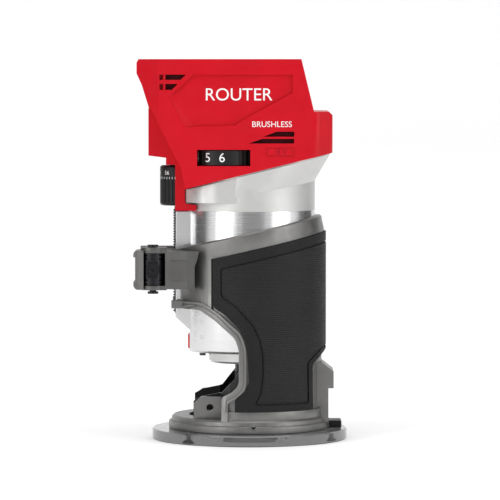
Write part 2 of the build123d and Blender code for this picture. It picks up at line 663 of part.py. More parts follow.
with BuildPart() as upper_bracket:
    add(tube(MOTOR_BORE_TOP_R - 0.1, 11.0, 123.5, 127.0))
    add(tube(13.6, 11.0, 123.5, 133.5))
    with Locations((0, 0, 133.6)):
        Cylinder(13.6, 1.0)
        Cylinder(5.0, 1.0, mode=Mode.SUBTRACT)
    with PolarLocations(24.0, 6, start_angle=30):
        with Locations((0, 0, 125)):
            Cylinder(5.0, 10, mode=Mode.SUBTRACT)
save("upper_bracket", upper_bracket.part)
save("upper_bearing", tube(11.0, SHAFT_R + 0.05, 126.0, 133.0))

with BuildPart() as hall_board:
    add(tube(19.0, 14.2, 128.2, 129.8))
    with Locations((16.5, 0, 130.6)):
        Box(4, 8, 1.8)
save("hall_board", hall_board.part)

# ================================================================ rotor: spindle, rotor, fan, collet
with BuildPart() as spindle:
    with BuildSketch(Plane.XZ):
        with BuildLine():
            Polyline(
                (0, 45.2), (5.5, 45.2), (5.5, 34.0), (7.0, 31.4), (7.2, 31.4), (7.2, 40.8), (8.7, 41.3),
                (8.7, 44.8), (BALL_SHAFT_R, 45.7), (BALL_SHAFT_R, 60.6), (5.2, 61.0), (5.2, 74.0),
                (SHAFT_R, 74.4),
                (SHAFT_R, 132.8), (0, 132.8), close=True,
            )
        make_face()
    revolve(axis=Axis.Z)
save("spindle", spindle.part)

with BuildPart() as rotor_core:
    add(tube(15.2, SHAFT_R, ROTOR_Z[0], ROTOR_Z[1]))
    with PolarLocations(12.9, 6):
        with Locations((0, 0, 96)):
            Box(2.2, 8.0, 50, mode=Mode.SUBTRACT)
save("rotor_core", rotor_core.part)

with BuildPart() as rotor_magnets:
    with PolarLocations(12.9, 6):
        with Locations((0, 0, 96)):
            Box(2.2, 8.0, 39)
save("rotor_magnets", rotor_magnets.part)

with BuildPart() as fan:
    add(tube(8.5, 5.2, 61.4, 71.5))
    add(tube(26.2, 8.0, 61.4, 62.8))
    for blade in range(11):
        turn = 360.0 / 11 * blade
        with BuildSketch(Plane.XY.offset(62.4)):
            with Locations(Location((0, 0, 0), (0, 0, turn))):
                with Locations((16.4, 3.4)):
                    Rectangle(17.6, 1.4, rotation=-22)
        extrude(amount=8.6)
save("cooling_fan", fan.part)

with BuildPart() as collet:
    add(tube(5.2, COLLET_BORE_R, 30.8, 45.0))
    with BuildSketch(Plane.XZ):
        Polygon((5.2, 30.8), (6.6, 30.8), (5.2, 33.5), align=None)
    revolve(axis=Axis.Z)
    add(tube(9, 6.9, 30, 31.3), mode=Mode.SUBTRACT)
    for turn in (0, 45, 90, 135):
        with Locations(Location((0, 0, 36.2), (0, 0, turn))):
            Box(14, 0.6, 11, mode=Mode.SUBTRACT)
save("collet", collet.part)

with BuildPart() as collet_nut:
    with BuildSketch(Plane.XY.offset(29.9)):
        RegularPolygon(10.2, 6, rotation=30)
    extrude(amount=10.6)
    with BuildSketch(Plane.XZ):
        Polygon((10.3, 29.9), (10.3, 31.0), (8.6, 29.9), align=None)
        Polygon((10.3, 40.5), (10.3, 39.6), (9.0, 40.5), align=None)
    revolve(axis=Axis.Z, mode=Mode.SUBTRACT)
    with BuildSketch(Plane.XY.offset(29.9)):
        Circle(5.0)
    extrude(amount=12, mode=Mode.SUBTRACT)
    with BuildSketch(Plane.XY.offset(30.7)):
        Circle(7.2)
    extrude(amount=12, mode=Mode.SUBTRACT)
save("collet_nut", collet_nut.part)

# ================================================================ depth adjustment
with BuildPart() as depth_dial:
    with BuildSketch(Plane.XY.offset(DIAL_Z[0])):
        with Locations((SCREW_X, 0)):
            Circle(DIAL_R)
    extrude(amount=DIAL_Z[1] - DIAL_Z[0])
    fillet(depth_dial.edges().filter_by(GeomType.CIRCLE), 1.6)
    # finger ribs over the lower part of the rim
    for rib in range(30):
        turn = radians(12.0 * rib)
        spot = (SCREW_X + (DIAL_R + 0.25) * cos(turn), (DIAL_R + 0.25) * sin(turn), DIAL_Z[0] + 8.6)
        with Locations(spot):
            Cylinder(0.65, 13.4, mode=Mode.SUBTRACT)
    with Locations((SCREW_X, 0, 152)):
        Cylinder(2.6, 40, mode=Mode.SUBTRACT)
save("depth_dial", depth_dial.part)

SCREW_LOW = 75.0
SCREW_TOP = DIAL_Z[0] - 0.6
with BuildPart() as lead_screw:
    with BuildSketch(Plane((SCREW_X, 0, SCREW_LOW))):
        Circle(3.1)
    extrude(amount=SCREW_TOP - SCREW_LOW)
    with BuildSketch(Plane((SCREW_X, 0, SCREW_TOP))):
        Circle(2.6)
    extrude(amount=170.5 - SCREW_TOP)
    with BuildSketch(Plane(origin=(SCREW_X, 0, 0), x_dir=(1, 0, 0), z_dir=(0, -1, 0))):
        with BuildLine():
            turns = int((SCREW_TOP - SCREW_LOW) / SCREW_PITCH)
            points = [(0, SCREW_LOW + 0.2)]
            for step in range(turns):
                low = SCREW_LOW + 0.2 + step * SCREW_PITCH
                points += [(3.1, low), (SCREW_R, low + 0.55), (SCREW_R, low + 0.95), (3.1, low + 1.45)]
            points.append((0, points[-1][1]))
            Polyline(*points, close=True)
        make_face()
    revolve(axis=Axis((SCREW_X, 0, 0), (0, 0, 1)))
save("lead_screw", lead_screw.part)

# ================================================================ motor unit: housing
def panel(points, y_out, depth):
    """A side-view outline as a block of the given depth, ending at Y = y_out, on both sides."""
    block = side_prism(points, y_out)
    core = side_prism(points, y_out - depth)
    return block - core


HOUSING_OUTLINE = [
    (-65.7, 227.5), (30.6, 227.5), (38.1, 196.5), (47.0, 196.5), (49.2, 194.3),
    (49.2, HOUSING_LOW[0] + 49.2 * HOUSING_LOW[1]), (-38.1, HOUSING_LOW[0] - 38.1 * HOUSING_LOW[1]),
    (-40.6, 164.0), (-44.0, 170.0), (-58.5, 199.0), (-59.5, 199.0), (-63.6, 212.0), (-66.9, 219.0),
    (-66.9, 225.4),
]
INNER_OUTLINE = [
    (-47.0, 199.5), (33.5, 199.5), (35.0, 193.5), (46.2, 193.5), (46.2, 172.0),
    (46.2, 100), (-34.5, 100), (-34.5, 151.6), (-37.5, 164.0), (-41.0, 171.0), (-54.0, 197.0),
]
with BuildPart() as plan_shape:
    with BuildSketch(Plane.XY.offset(120)) as plan:
        with BuildLine():
            Polyline(
                (-66.9, -27.0), (-53.7, -HOUSING_HALF), (40.2, -HOUSING_HALF), (49.2, -31.0),
                (49.2, 31.0), (40.2, HOUSING_HALF), (-53.7, HOUSING_HALF), (-66.9, 27.0), close=True,
            )
        make_face()
        fillet(plan.vertices().group_by(Axis.X)[-1] + plan.vertices().group_by(Axis.X)[-2], 5)
    extrude(amount=120)
with BuildPart() as plan_core:
    with BuildSketch(Plane.XY.offset(120)):
        add(plan.sketch.moved(Location((0, 0, 0))))
        offset(amount=-HOUSING_WALL)
    extrude(amount=120)

housing_body = side_prism(HOUSING_OUTLINE, HOUSING_HALF) & plan_shape.part
housing_hollow = side_prism(INNER_OUTLINE, HOUSING_HALF) & plan_core.part
# recessed six-sided panel, rear vents, front vents
SIDE_PANEL = [
    (-33.3, 218.3), (25.5, 218.3), (25.5, 207.6), (-5.7, 190.6), (-8.1, 188.4), (-38.1, 187.6),
    (-47.1, 205.2),
]
VENTS = (
    [(8.1, 181.8), (16.0, 184.8), (26.4, 184.8), (26.4, 181.8)],
    [(-0.5, 177.8), (7.5, 180.6), (26.4, 180.6), (26.4, 177.8)],
    [(-53.0, 218.4), (-37.4, 218.4), (-40.6, 215.3), (-53.0, 215.3)],
    [(-53.0, 212.9), (-42.2, 212.9), (-45.6, 209.4), (-53.0, 209.4)],
)
recesses = [panel(SIDE_PANEL, HOUSING_HALF + 1, 2.8)]
for slot in VENTS:
    recesses.append(panel(slot, HOUSING_HALF + 1, 5.0))
badge_plate = panel([(10.2, 170.4), (26.1, 170.4), (26.1, 175.2), (10.2, 175.2)], HOUSING_HALF + 0.5, 1.5)

with BuildPart() as housing:
    add(housing_body)
    # hollow for the electronics, and a pocket beside each wall of the battery slot
    add(housing_hollow, mode=Mode.SUBTRACT)
    with BuildSketch(Plane.XY.offset(199)):
        for side in (-1, 1):
            Polygon((-50, side * 27), (26, side * 27), (26, side * 37), (-50, side * 37), align=None)
    extrude(amount=24.5, mode=Mode.SUBTRACT)
    # front block, narrower than the sides, with the neck over the depth dial
    with BuildSketch(side_plane(0)):
        with BuildLine():
            Polyline(
                (-59.5, 199.5), (-60.0, 198.0), (-60.0, 170.3), (-49.6, 169.0), (-49.6, 164.9),
                (-36.0, 164.9), (-36.0, 172.0), (-50.0, 199.5), close=True,
            )
        make_face()
    extrude(amount=24, both=True)
    with BuildSketch(side_plane(0)):
        with BuildLine():
            Polyline(
                (-57.0, 197.0), (-57.0, 173.0), (-35.9, 173.0), (-35.9, 175.0), (-47.0, 197.0), close=True,
            )
        make_face()
    extrude(amount=21, both=True, mode=Mode.SUBTRACT)
    # legs each side of the depth dial, with feet that wrap round the barrel
    for side in (-1, 1):
        with BuildSketch(side_plane(-18.2 if side < 0 else 25.2)):
            with BuildLine():
                Polyline(
                    (-44.1, 166.0), (-44.1, 137.6), (-32.4, 137.6), (-31.5, 138.5), (-31.5, 141.0),
                    (-37.6, 141.6), (-38.3, 143.2), (-38.3, 152.0), (-36.0, 166.0), close=True,
                )
            make_face()
        extrude(amount=7.0)
    with BuildSketch(Plane.XY.offset(137)):
        Circle(BARREL_R + 0.1)
    extrude(amount=5.4, mode=Mode.SUBTRACT)
    # wall round the depth dial's recess, and the recess
    with BuildSketch(Plane((SCREW_X, 0, 153.4))):
        Circle(DIAL_R + 2.2)
        with Locations((-10, 0)):
            Rectangle(23.2, 40, mode=Mode.SUBTRACT)
    extrude(amount=12.6)
    with BuildSketch(Plane((SCREW_X, 0, 130))):
        Circle(DIAL_R + 0.6)
        with Locations((-10, 0)):
            Rectangle(20, 2 * DIAL_R + 1.2)
    extrude(amount=34.9, mode=Mode.SUBTRACT)
    # battery slot, open at the top and the rear
    with Locations((0, 0, SLOT_FLOOR + 20)):
        Box(104, 2 * SLOT_HALF, 40, mode=Mode.SUBTRACT)
    # opening of the power button
    with BuildSketch(Plane(origin=(-62, 0, 184), x_dir=(0, 1, 0), z_dir=(1, 0, 0))):
        RectangleRounded(18.8, 15.8, 3)
    extrude(amount=8, mode=Mode.SUBTRACT)
    # side panel and vents, and the small raised plate
    for recess in recesses:
        add(recess, mode=Mode.SUBTRACT)
    add(badge_plate)
    # window of the speed dial, near side only
    with Locations((-15.2, -HOUSING_HALF, 169.3)):
        Box(31.4, 12, 9.6, mode=Mode.SUBTRACT)
    # top bush of the lead screw
    with Locations((SCREW_X, 0, 168)):
        Cylinder(2.65, 20, mode=Mode.SUBTRACT)

SCREW_SPOTS = ((41.0, 185.0), (-43.0, 195.5), (-26.0, 158.6), (33.0, 173.0))
with BuildPart() as screw_bosses:
    for spot in SCREW_SPOTS:
        with Locations(Location((spot[0], 0, spot[1]), (90, 0, 0))):
            Cylinder(3.4, 2 * HOUSING_HALF - 5)
    add(plan_shape.part, mode=Mode.INTERSECT)
with BuildPart() as housing_shells:
    add(housing.part)
    add(screw_bosses.part)
    # holes of the housing screws, with a counterbore on the far side
    for spot in SCREW_SPOTS:
        with Locations(Location((spot[0], 0, spot[1]), (90, 0, 0))):
            Cylinder(1.6, 60, mode=Mode.SUBTRACT)
        with Locations(Location((spot[0], HOUSING_HALF, spot[1]), (90, 0, 0))):
            Cylinder(2.9, 20, mode=Mode.SUBTRACT)
for name, side in (("housing_near", -1), ("housing_far", 1)):
    with BuildPart() as shell:
        add(housing_shells.part)
        with Locations((0, -side * 60, 180)):
            Box(200, 120, 200, mode=Mode.SUBTRACT)
    save(name, shell.part)

with BuildPart() as housing_screws:
    for spot in SCREW_SPOTS:
        far_side = Plane(origin=(spot[0], 30, spot[1]), x_dir=(1, 0, 0), z_dir=(0, 1, 0))
        with BuildSketch(far_side):
            Circle(2.8)
        extrude(amount=2.6)
        with BuildSketch(far_side):
            Circle(1.6)
        extrude(amount=-54)
        with BuildSketch(far_side.offset(2.6)):
            RegularPolygon(1.4, 6)
        extrude(amount=-1.6, mode=Mode.SUBTRACT)
save("housing_screws", housing_screws.part)

# ================================================================ controls in the housing
with BuildPart() as speed_dial:
    with BuildSketch(Plane((-15.2, -20.9, 165.0))):
        Circle(19.0)
        Circle(2.05, mode=Mode.SUBTRACT)
    extrude(amount=8.6)
    for rib in range(36):
        turn = radians(10.0 * rib)
        spot = (-15.2 + 19.3 * cos(turn), -20.9 + 19.3 * sin(turn), 169.3)
        if 100 < 10.0 * rib < 240 or 10.0 * rib > 290 or rib < 5:
            with Locations(spot):
                Cylinder(0.8, 10, mode=Mode.SUBTRACT)
save("speed_dial", speed_dial.part)

with BuildPart() as power_button:
    with BuildSketch(Plane(origin=(-60.4, 0, 184), x_dir=(0, 1, 0), z_dir=(1, 0, 0))):
        RectangleRounded(18.0, 15.0, 2.6)
    extrude(amount=7.4)
    fillet(power_button.faces().sort_by(Axis.X)[0].edges(), 0.7)
    with Locations((-51.2, 0, 184)):
        Box(4.0, 6, 4)
save("power_button", power_button.part)

with BuildPart() as power_switch:
    with Locations((-43.4, 0, 184)):
        Box(5.4, 12, 9)
    with Locations((-46.35, 0, 184)):
        Cylinder(1.5, 1.4, rotation=(0, 90, 0))
save("power_switch", power_switch.part)

with BuildPart() as speed_board:
    with Locations((-12, -16, 176.4)):
        Box(30, 30, 1.6)
    with Locations((-15.2, -20.9, 170.4)):
        Cylinder(1.98, 11)
        with Locations((0, 0, 4.4)):
            Cylinder(4.0, 1.6)
save("speed_board", speed_board.part)

# ================================================================ electronics and battery slot
with BuildPart() as controller_tray:
    with Locations((2, 0, 191.5)):
        Box(62, 62, 12)
    offset(openings=controller_tray.faces().sort_by(Axis.Z)[0], amount=-1.8)
save("controller_tray", controller_tray.part)

with BuildPart() as controller_board:
    with Locations((2, 0, 187.5)):
        Box(58, 58, 1.6)
    for spot in ((-16, 12), (-4, 12), (8, 12), (-16, -12), (-4, -12), (8, -12)):
        with Locations((spot[0], spot[1], 189.5)):
            Box(9, 8, 2.6)
    for spot in ((22, 14), (22, -14)):
        with Locations((spot[0], spot[1], 183.0)):
            Cylinder(5.0, 7.6)
save("controller_board", controller_board.part)

with BuildPart() as battery_rail:
    with BuildSketch(Plane(origin=(-50, 0, 0), x_dir=(0, 1, 0), z_dir=(1, 0, 0))):
        with BuildLine():
            Polyline(
                (-22.9, 203.1), (22.9, 203.1), (22.9, 226.6), (18.2, 226.6), (18.2, 219.6), (20.6, 219.6),
                (20.6, 205.2), (-20.6, 205.2), (-20.6, 219.6), (-18.2, 219.6), (-18.2, 226.6),
                (-22.9, 226.6), close=True,
            )
        make_face()
    extrude(amount=76)
    add(side_prism([(-51, 203.1), (-48, 203.1), (-48, 226.6), (-51, 226.6)], 22.9))
save("battery_rail", battery_rail.part)

with BuildPart() as terminal_block:
    with Locations((-41, 0, 211.3)):
        Box(11, 34, 12)
    for y in (-12, -4, 4, 12):
        with Locations((-38, y, 211.3)):
            Box(6, 1.3, 9, mode=Mode.SUBTRACT)
save("terminal_block", terminal_block.part)

with BuildPart() as battery_blades:
    for y in (-12, -4, 4, 12):
        with Locations((-31.0, y, 211.3)):
            Box(20, 1.0, 8)
    chamfer(battery_blades.faces().group_by(Axis.X)[-1].edges().filter_by(Axis.Z), 0.3)
save("battery_blades", battery_blades.part)

with BuildPart() as motor_leads:
    for angle in (70, 90, 110):
        with BuildSketch(Plane((31 * cos(radians(angle)), 31 * sin(radians(angle)), 127.2))):
            Circle(1.3)
        extrude(amount=58)
save("motor_leads", motor_leads.part)

# foam dust filters behind the vents, both sides
FILTERS = ((12.6, 181.2, 30.0, 9.6), (-41.5, 214.0, 16.6, 10.6))
with BuildPart() as dust_filters:
    for side in (-1, 1):
        for x, z, width, height in FILTERS:
            with Locations((x, side * 36.4, z)):
                Box(width, 1.2, height)
save("dust_filters", dust_filters.part)
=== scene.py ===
"""Looks of the trim router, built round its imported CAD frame. Metres, +Z up, camera on the -Y side."""
import json
import math

import bmesh
import bpy
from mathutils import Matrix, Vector


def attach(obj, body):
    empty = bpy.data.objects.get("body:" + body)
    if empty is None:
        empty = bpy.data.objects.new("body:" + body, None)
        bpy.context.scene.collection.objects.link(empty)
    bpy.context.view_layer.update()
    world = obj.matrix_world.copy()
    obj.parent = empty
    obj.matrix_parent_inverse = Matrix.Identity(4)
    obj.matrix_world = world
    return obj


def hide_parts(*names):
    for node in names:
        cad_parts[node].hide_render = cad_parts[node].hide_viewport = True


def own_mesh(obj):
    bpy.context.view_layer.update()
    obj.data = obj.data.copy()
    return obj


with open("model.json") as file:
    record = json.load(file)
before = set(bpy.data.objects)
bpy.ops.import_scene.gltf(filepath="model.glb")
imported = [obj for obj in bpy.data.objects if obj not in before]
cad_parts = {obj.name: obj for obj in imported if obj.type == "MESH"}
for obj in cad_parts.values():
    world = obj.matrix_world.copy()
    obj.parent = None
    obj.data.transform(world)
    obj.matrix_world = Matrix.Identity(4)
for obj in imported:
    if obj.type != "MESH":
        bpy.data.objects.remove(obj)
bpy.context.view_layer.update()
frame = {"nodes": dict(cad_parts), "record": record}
nodes = frame["nodes"]
MM = 0.001

# places on the CAD that added pieces sit on, in millimetres
SPEED_WHEEL_AXIS = (-15.2, -20.9)
SPEED_WHEEL_RADIUS = 19.0
SPEED_WINDOW_Z = 169.2
FIGURE_STEP_DEG = 26.6
SCREW_X = -42.0
DEPTH_DIAL_RADIUS = 11.7
SPINDLE_AXIS = (0.0, 0.0)
BARREL_RADIUS = 39.3
GRIP_RADIUS = 45.9
PANEL_FLOOR = 38.2
HOUSING_SIDE = 40.0
BADGE_FACE = 40.44
THREAD_PITCH = 1.5875


# ---------------------------------------------------------------- material tools
class Shader:
    """A material under construction: one Principled BSDF and short helpers for its nodes."""

    def __init__(self, name, **sockets):
        self.material = bpy.data.materials.new(name)
        self.material.use_nodes = True
        self.tree = self.material.node_tree
        self.bsdf = self.tree.nodes["Principled BSDF"]
        for socket, value in sockets.items():
            self.bsdf.inputs[socket.replace("_", " ")].default_value = value
        self.coords = self.tree.nodes.new("ShaderNodeTexCoord").outputs["Object"]

    def node(self, kind):
        return self.tree.nodes.new("ShaderNode" + kind)

    def link(self, source, target):
        self.tree.links.new(source, target)

    def mapped(self, scale=(1, 1, 1), rotation=(0, 0, 0)):
        """Object coordinates, stretched."""
        mapping = self.node("Mapping")
        mapping.inputs["Scale"].default_value = scale
        mapping.inputs["Rotation"].default_value = rotation
        self.link(self.coords, mapping.inputs["Vector"])
        return mapping.outputs["Vector"]

    def noise(self, scale, detail=4.0, roughness=0.6, vector=None):
        noise = self.node("TexNoise")
        noise.inputs["Scale"].default_value = scale
        noise.inputs["Detail"].default_value = detail
        noise.inputs["Roughness"].default_value = roughness
        self.link(vector or self.coords, noise.inputs["Vector"])
        return noise.outputs["Fac"]

    def cells(self, scale):
        cells = self.node("TexVoronoi")
        cells.inputs["Scale"].default_value = scale
        self.link(self.coords, cells.inputs["Vector"])
        return cells.outputs["Distance"]

    def ramp(self, fac, stops):
        """Colour stops as (place, colour) pairs."""
        ramp = self.node("ValToRGB")
        elements = ramp.color_ramp.elements
        while len(elements) < len(stops):
            elements.new(0.5)
        for element, (place, colour) in zip(elements, stops):
            element.position = place
            element.color = (*colour, 1.0)
        self.link(fac, ramp.inputs["Fac"])
        return ramp.outputs["Color"]

    def span(self, fac, low, high, from_low=0.3, from_high=0.7):
        """The factor stretched to run from low to high."""
        span = self.node("MapRange")
        for socket, value in (
            ("From Min", from_low), ("From Max", from_high), ("To Min", low), ("To Max", high),
        ):
            span.inputs[socket].default_value = value
        self.link(fac, span.inputs["Value"])
        return span.outputs["Result"]

    def colour(self, output):
        self.link(output, self.bsdf.inputs["Base Color"])

    def rough(self, output):
        self.link(output, self.bsdf.inputs["Roughness"])

    def bump(self, *layers):
        """Bump layers as (height output, distance in metres, strength)."""
        normal = None
        for height, distance, strength in layers:
            bump = self.node("Bump")
            bump.inputs["Distance"].default_value = distance
            bump.inputs["Strength"].default_value = strength
            self.link(height, bump.inputs["Height"])
            if normal:
                self.link(normal, bump.inputs["Normal"])
            normal = bump.outputs["Normal"]
        self.link(normal, self.bsdf.inputs["Normal"])


def shades(colour, spread):
    """Darker and lighter neighbours of a colour, for a colour ramp."""
    return [
        (0.3, tuple(c * (1 - spread) for c in colour)),
        (0.7, tuple(min(1.0, c * (1 + spread)) for c in colour)),
    ]


def moulded_plastic(name, colour, rough, grain=0.25, gloss=0.25, spread=0.06):
    """Moulded plastic: faint colour drift, spark-eroded grain, uneven gloss."""
    s = Shader(name, Specular_IOR_Level=gloss)
    s.colour(s.ramp(s.noise(45), shades(colour, spread)))
    s.rough(s.span(s.noise(160, 6), rough - 0.06, rough + 0.08))
    s.bump((s.noise(2600, 3, 0.7), 0.00004, grain), (s.noise(60, 2), 0.0002, 0.06))
    return s.material


def painted_casting(name, colour, rough, orange_peel=0.35):
    """Die casting under satin paint: orange peel, tiny pits, a little sheen drift."""
    s = Shader(name, Metallic=0.72, Specular_IOR_Level=0.5)
    s.colour(s.ramp(s.noise(70, 6), shades(colour, 0.10)))
    s.rough(s.span(s.noise(220, 5), rough - 0.07, rough + 0.10))
    s.bump((s.noise(900, 3, 0.5), 0.0001, orange_peel), (s.cells(2400), 0.00005, 0.12))
    return s.material


def metal(name, colour, rough, stretch=(1, 1, 1), grain=0.2, spread=0.05, metallic=1.0):
    """Bare metal with a directional or even grain."""
    s = Shader(name, Metallic=metallic)
    lines = s.noise(320, 8, 0.7, s.mapped(stretch))
    s.colour(s.ramp(s.noise(40, 5), shades(colour, spread)))
    s.rough(s.span(lines, rough - 0.07, rough + 0.10))
    s.bump((lines, 0.00003, grain))
    return s.material


def turned_aluminium():
    """Bright turned barrel: fine rings round the axis over a soft machined sheen."""
    s = Shader("turned_aluminium", Metallic=0.92, Specular_IOR_Level=0.6)
    rings = s.noise(900, 6, 0.75, s.mapped((0.02, 0.02, 3.0)))
    s.colour(s.ramp(rings, shades((0.72, 0.72, 0.725), 0.04)))
    s.rough(s.span(rings, 0.21, 0.29))
    s.bump((rings, 0.00002, 0.10))
    return s.material


def smoky_plate():
    """Clear polycarbonate with a grey tint and fine scratches."""
    s = Shader("smoky_plate", Transmission_Weight=1.0, IOR=1.585, Specular_IOR_Level=0.5)
    s.colour(s.ramp(s.noise(30), shades((0.19, 0.19, 0.193), 0.04)))
    scratch = s.noise(420, 8, 0.8, s.mapped((1, 2.2, 1), (0, 0, 0.6)))
    s.rough(s.span(scratch, 0.03, 0.11, 0.45, 0.75))
    s.bump((scratch, 0.00003, 0.08))
    return s.material


def rubber_grip():
    """Soft overmould: fine raised dots in a close pack, matt."""
    s = Shader("rubber_grip", Specular_IOR_Level=0.22)
    dots = s.cells(900)
    s.colour(s.ramp(s.noise(50, 5), shades((0.0115, 0.0115, 0.012), 0.2)))
    s.rough(s.span(dots, 0.48, 0.66, 0.0, 0.6))
    s.bump((dots, 0.00022, 0.5), (s.noise(90, 2), 0.0002, 0.08))
    return s.material


RED = (0.56, 0.002, 0.012)
MATERIALS = {
    "red_plastic": moulded_plastic("red_housing", RED, 0.36, 0.05, 0.22),
    "red_button": moulded_plastic("red_button", (0.62, 0.010, 0.018), 0.40, 0.08),
    "black_plastic": moulded_plastic("black_plastic", (0.011, 0.011, 0.0115), 0.40, 0.15),
    "grip_rubber": rubber_grip(),
    "cast_grey": painted_casting("grey_casting", (0.205, 0.203, 0.198), 0.37, 0.15),
    "lever_grey": painted_casting("grey_lever", (0.120, 0.119, 0.116), 0.44, 0.15),
    "cast_aluminium": metal("satin_cast_aluminium", (0.60, 0.60, 0.592), 0.36, (1, 1, 14), metallic=0.88),
    "collar_aluminium": metal("satin_collar", (0.585, 0.585, 0.575), 0.44, grain=0.2, metallic=0.6),
    "grip_dash": moulded_plastic("grip_dash", (0.017, 0.017, 0.0175), 0.50, 0.2, 0.3),
    "badge_ink": moulded_plastic("badge_ink", (0.20, 0.002, 0.008), 0.40, 0.1),
    "bright_aluminium": turned_aluminium(),
    "steel": metal("plain_steel", (0.52, 0.52, 0.53), 0.30, (1, 1, 12)),
    "black_steel": metal("black_oxide_steel", (0.035, 0.035, 0.038), 0.36, grain=0.3),
    "lamination": metal("laminated_steel", (0.28, 0.28, 0.30), 0.42, (0.02, 0.02, 8), 0.8),
    "magnet": metal("plated_magnet", (0.35, 0.35, 0.38), 0.22),
    "copper": metal("enamelled_copper", (0.62, 0.25, 0.09), 0.32, (0.05, 1, 6), 0.9),
    "contact_brass": metal("plated_contact", (0.78, 0.62, 0.32), 0.24, (1, 1, 8)),
    "circuit_board": moulded_plastic("circuit_board", (0.010, 0.085, 0.035), 0.35, 0.3),
    "wire": moulded_plastic("lead_sleeve", (0.05, 0.05, 0.055), 0.5, 0.1),
    "lens_clear": moulded_plastic("work_light_lens", (0.05, 0.05, 0.055), 0.10, 0.1, 0.5),
    "sub_base_clear": smoky_plate(),
    # foam behind the vents, dark red as painted shade: its colour stands in for the shade deep inside the
    # vent slots
    "foam": moulded_plastic("foam_painted_vent_shade", (0.045, 0.004, 0.006), 0.9, 0.6),
    "white_ink": moulded_plastic("white_ink", (0.86, 0.86, 0.86), 0.45, 0.1, spread=0.02),
    "grey_ink": moulded_plastic("grey_ink", (0.60, 0.60, 0.60), 0.5, 0.1, spread=0.03),
}
BEVELS = {
    "housing_near": 0.5, "housing_far": 0.5, "upper_collar": 0.25, "base_casting": 0.45, "clamp_lever": 0.8,
    "motor_barrel": 0.4, "latch_tab": 0.3, "chip_shield_near": 0.25, "chip_shield_far": 0.25,
    "release_button": 0.4, "battery_rail": 0.4, "nose_cap": 0.25, "terminal_block": 0.4, "clamp_nut": 0.15,
}
FINISHES = {"upper_collar": "collar_aluminium"}
slot_of = {entry["node"]: entry["material_slot"] for entry in frame["record"]["subparts"]}


def dress(name, node):
    """Give a CAD node its finish and soften its sharp edges."""
    node.data.materials.clear()
    node.data.materials.append(MATERIALS[FINISHES.get(name, slot_of[name])])
    if name in BEVELS:
        weld = node.modifiers.new("weld", "WELD")
        weld.merge_threshold = 0.00001
        bevel = node.modifiers.new("edges", "BEVEL")
        bevel.width = BEVELS[name] * MM
        bevel.segments = 3
        bevel.limit_method = "ANGLE"
        bevel.angle_limit = math.radians(35)
        bevel.harden_normals = True
        bevel.use_clamp_overlap = True
    if name == "upper_collar":
        soften = node.modifiers.new("soften", "WEIGHTED_NORMAL")
        soften.keep_sharp = True
        soften.weight = 80


for name, node in nodes.items():
    dress(name, node)

# ---------------------------------------------------------------- added pieces
def as_object(name, mesh, material, body, smooth=False):
    """A finished bmesh as an object in the scene, riding on a body."""
    data = bpy.data.meshes.new(name)
    mesh.to_mesh(data)
    mesh.free()
    for polygon in data.polygons:
        polygon.use_smooth = smooth
    data.materials.append(material)
    made = bpy.data.objects.new(name, data)
    bpy.context.scene.collection.objects.link(made)
    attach(made, body)
    return made


def lettering(text, height, depth):
    """Plain letters as a bmesh, centred on the origin in X and Y, standing depth tall in Z; millimetres."""
    curve = bpy.data.curves.new("letters", "FONT")
    curve.body = text
    curve.size = height * 1.37
    curve.extrude = depth / 2
    curve.align_x = "CENTER"
    curve.align_y = "CENTER"
    curve.resolution_u = 5
    holder = bpy.data.objects.new("letters", curve)
    bpy.context.scene.collection.objects.link(holder)
    bpy.context.view_layer.update()
    graph = bpy.context.evaluated_depsgraph_get()
    data = bpy.data.meshes.new_from_object(holder.evaluated_get(graph))
    mesh = bmesh.new()
    mesh.from_mesh(data)
    bpy.data.objects.remove(holder)
    bpy.data.meshes.remove(data)
    return mesh


def merge(into, part):
    """Adds one bmesh to another."""
    copies = {v: into.verts.new(v.co) for v in part.verts}
    for face in part.faces:
        into.faces.new([copies[v] for v in face.verts])
    part.free()


def block(mesh, low, high, turn=None):
    """Adds a box between two corners, in millimetres, each corner passed through turn."""
    corners = [
        (x, y, z) for z in (low[2], high[2]) for y in (low[1], high[1]) for x in (low[0], high[0])
    ]
    verts = [mesh.verts.new(turn(c) if turn else Vector(c) * MM) for c in corners]
    for face in ((0, 2, 3, 1), (4, 5, 7, 6), (0, 1, 5, 4), (2, 6, 7, 3), (0, 4, 6, 2), (1, 3, 7, 5)):
        mesh.faces.new([verts[i] for i in face])


def round_a_drum(centre, radius, turn_deg, height):
    """A function that lays flat millimetre points on a drum about a vertical axis.

    turn_deg is measured from -Y towards +X; a point's Z stands off the drum.
    """
    def place(point):
        angle = math.radians(turn_deg) + point[0] / radius
        reach = radius + point[2]
        return Vector((
            centre[0] + reach * math.sin(angle), centre[1] - reach * math.cos(angle), height + point[1],
        )) * MM
    return place


def on_drum(mesh, text, size, centre, radius, turn_deg, height, depth=0.16):
    """Letters wrapped on a drum."""
    letters = lettering(text, size, depth)
    place = round_a_drum(centre, radius, turn_deg, height)
    for vert in letters.verts:
        vert.co = place(vert.co)
    merge(mesh, letters)


def speed_numbers():
    """White figures 1 to 6 round the speed wheel."""
    mesh = bmesh.new()
    for figure in range(6):
        turn = -3.0 + FIGURE_STEP_DEG * (figure - 5)
        on_drum(mesh, str(figure + 1), 5.6, SPEED_WHEEL_AXIS, SPEED_WHEEL_RADIUS, turn, SPEED_WINDOW_Z)
    as_object("speed_numbers", mesh, MATERIALS["white_ink"], "speed_wheel")


